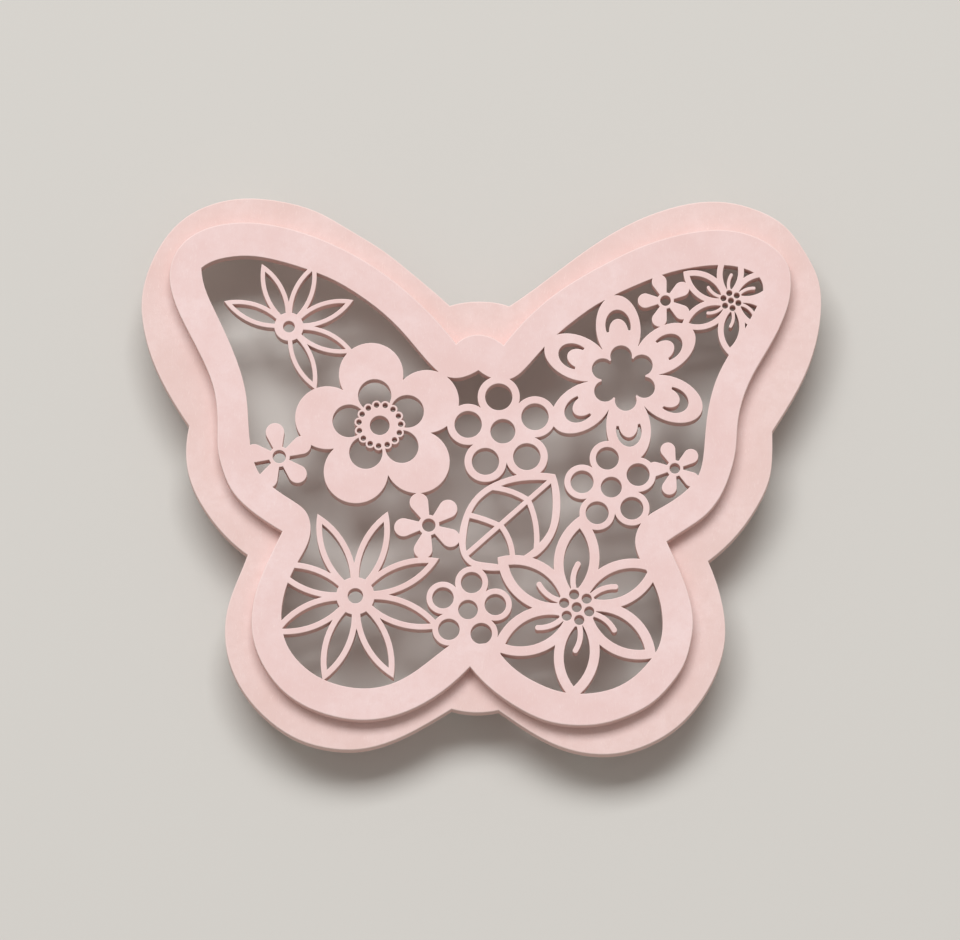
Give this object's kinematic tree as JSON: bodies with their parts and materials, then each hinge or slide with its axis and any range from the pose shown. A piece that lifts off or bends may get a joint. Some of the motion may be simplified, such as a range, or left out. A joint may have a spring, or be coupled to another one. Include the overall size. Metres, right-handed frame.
{
  "type": "layered cut card butterfly",
  "caption": "Flat butterfly wall decoration of two stacked card layers, the upper one cut through inside the wings as a lattice of flowers and leaves, on small foam pads.",
  "frame": {"origin": "middle of the part seen from the front, on the wall side of the foam pads", "axes": "+Z out of the face, away from the wall; +X to the right wing; +Y to the wing tops"},
  "size_m": [0.1707, 0.1424, 0.018],
  "materials": {
    "front_card": "matt pale pink card, smooth cut face",
    "back_card": "matt pale pink card, smooth cut face",
    "foam": "white closed-cell foam"
  },
  "bodies": {
    "root": {"front_layer": "front_card", "back_layer": "back_card", "foam_pad_01": "foam", "foam_pad_02": "foam", "foam_pad_03": "foam", "foam_pad_04": "foam", "foam_pad_05": "foam", "foam_pad_06": "foam", "foam_pad_07": "foam", "foam_pad_08": "foam", "foam_pad_09": "foam", "foam_pad_10": "foam", "foam_pad_11": "foam", "foam_pad_12": "foam"}
  },
  "joints": []
}
